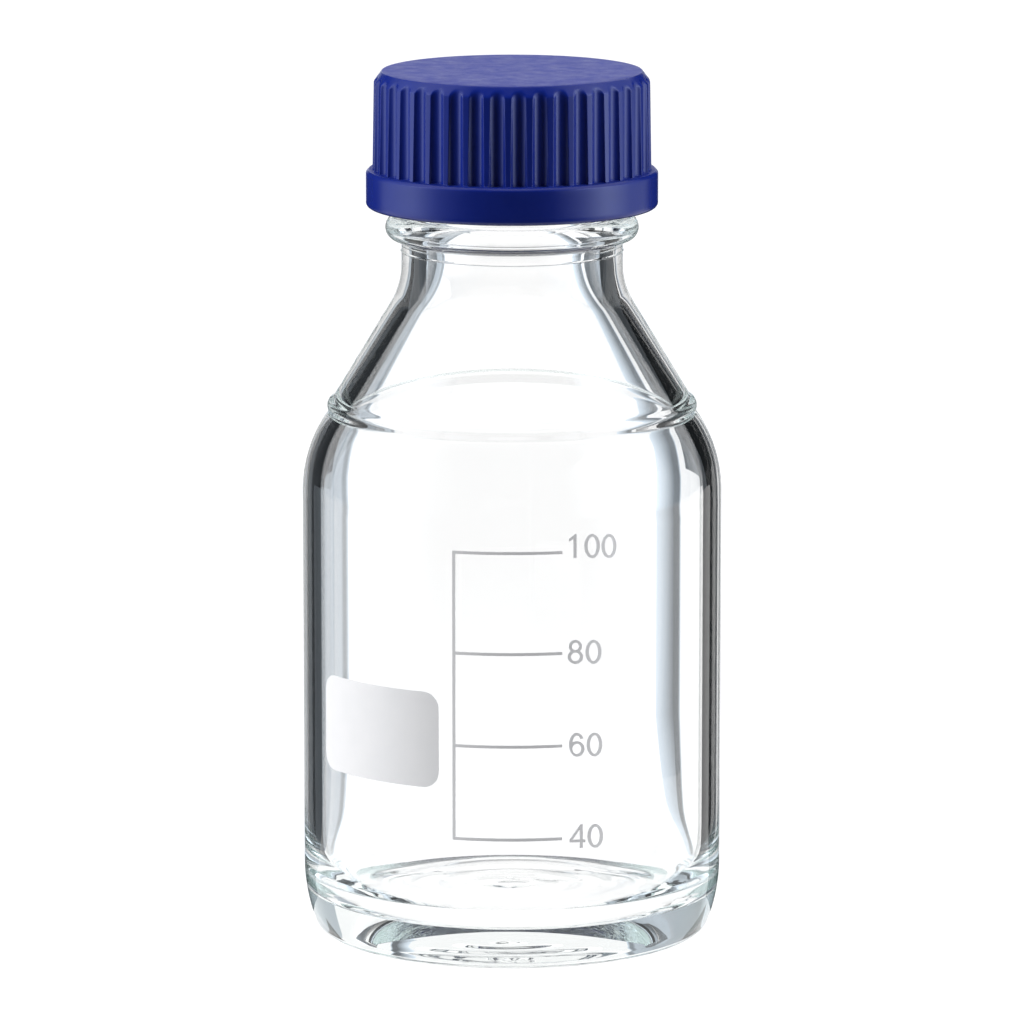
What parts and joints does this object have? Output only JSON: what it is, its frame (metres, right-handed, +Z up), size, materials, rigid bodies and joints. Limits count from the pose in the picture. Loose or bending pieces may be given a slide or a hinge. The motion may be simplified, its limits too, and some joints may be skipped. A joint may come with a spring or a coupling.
{
  "type": "reagent bottle",
  "caption": "Clear glass laboratory reagent bottle with conical shoulder, beaded neck, pouring ring, printed volume scale and writing panel, closed by a fluted blue screw cap with a seal.",
  "frame": {"origin": "centre of the plane of the base's contact ring", "axes": "+Z up along the bottle's axis, -Y towards the printed front, +X to the right seen from the front"},
  "size_m": [0.056, 0.0561, 0.1161],
  "materials": {
    "clear_glass": "clear polished borosilicate glass",
    "ring_plastic": "smooth moulded polypropylene",
    "seal_rubber": "smooth silicone",
    "cap_plastic": "satin moulded polypropylene, finely textured on top",
    "panel_enamel": "fired white enamel",
    "scale_enamel": "fired white enamel"
  },
  "bodies": {
    "bottle": {"glass_bottle": "clear_glass", "pouring_ring": "ring_plastic", "label_panel": "panel_enamel", "graduation_scale": "scale_enamel"},
    "seal": {"seal_disc": "seal_rubber"},
    "cap": {"screw_cap": "cap_plastic"}
  },
  "joints": [
    {"name": "cap_lift", "type": "slide", "parent": "bottle", "child": "seal", "axis": [0, 0, 1], "range_m": [0, 0.02]},
    {"name": "cap_turn", "type": "hinge", "parent": "seal", "child": "cap", "pos_m": [0, 0, 0.106], "axis": [0, 0, 1], "range_deg": [0, 1800]}
  ],
  "couplings": [
    {"joint": "cap_lift", "follows": "cap_turn", "m_per_rad": 0.00063662}
  ]
}
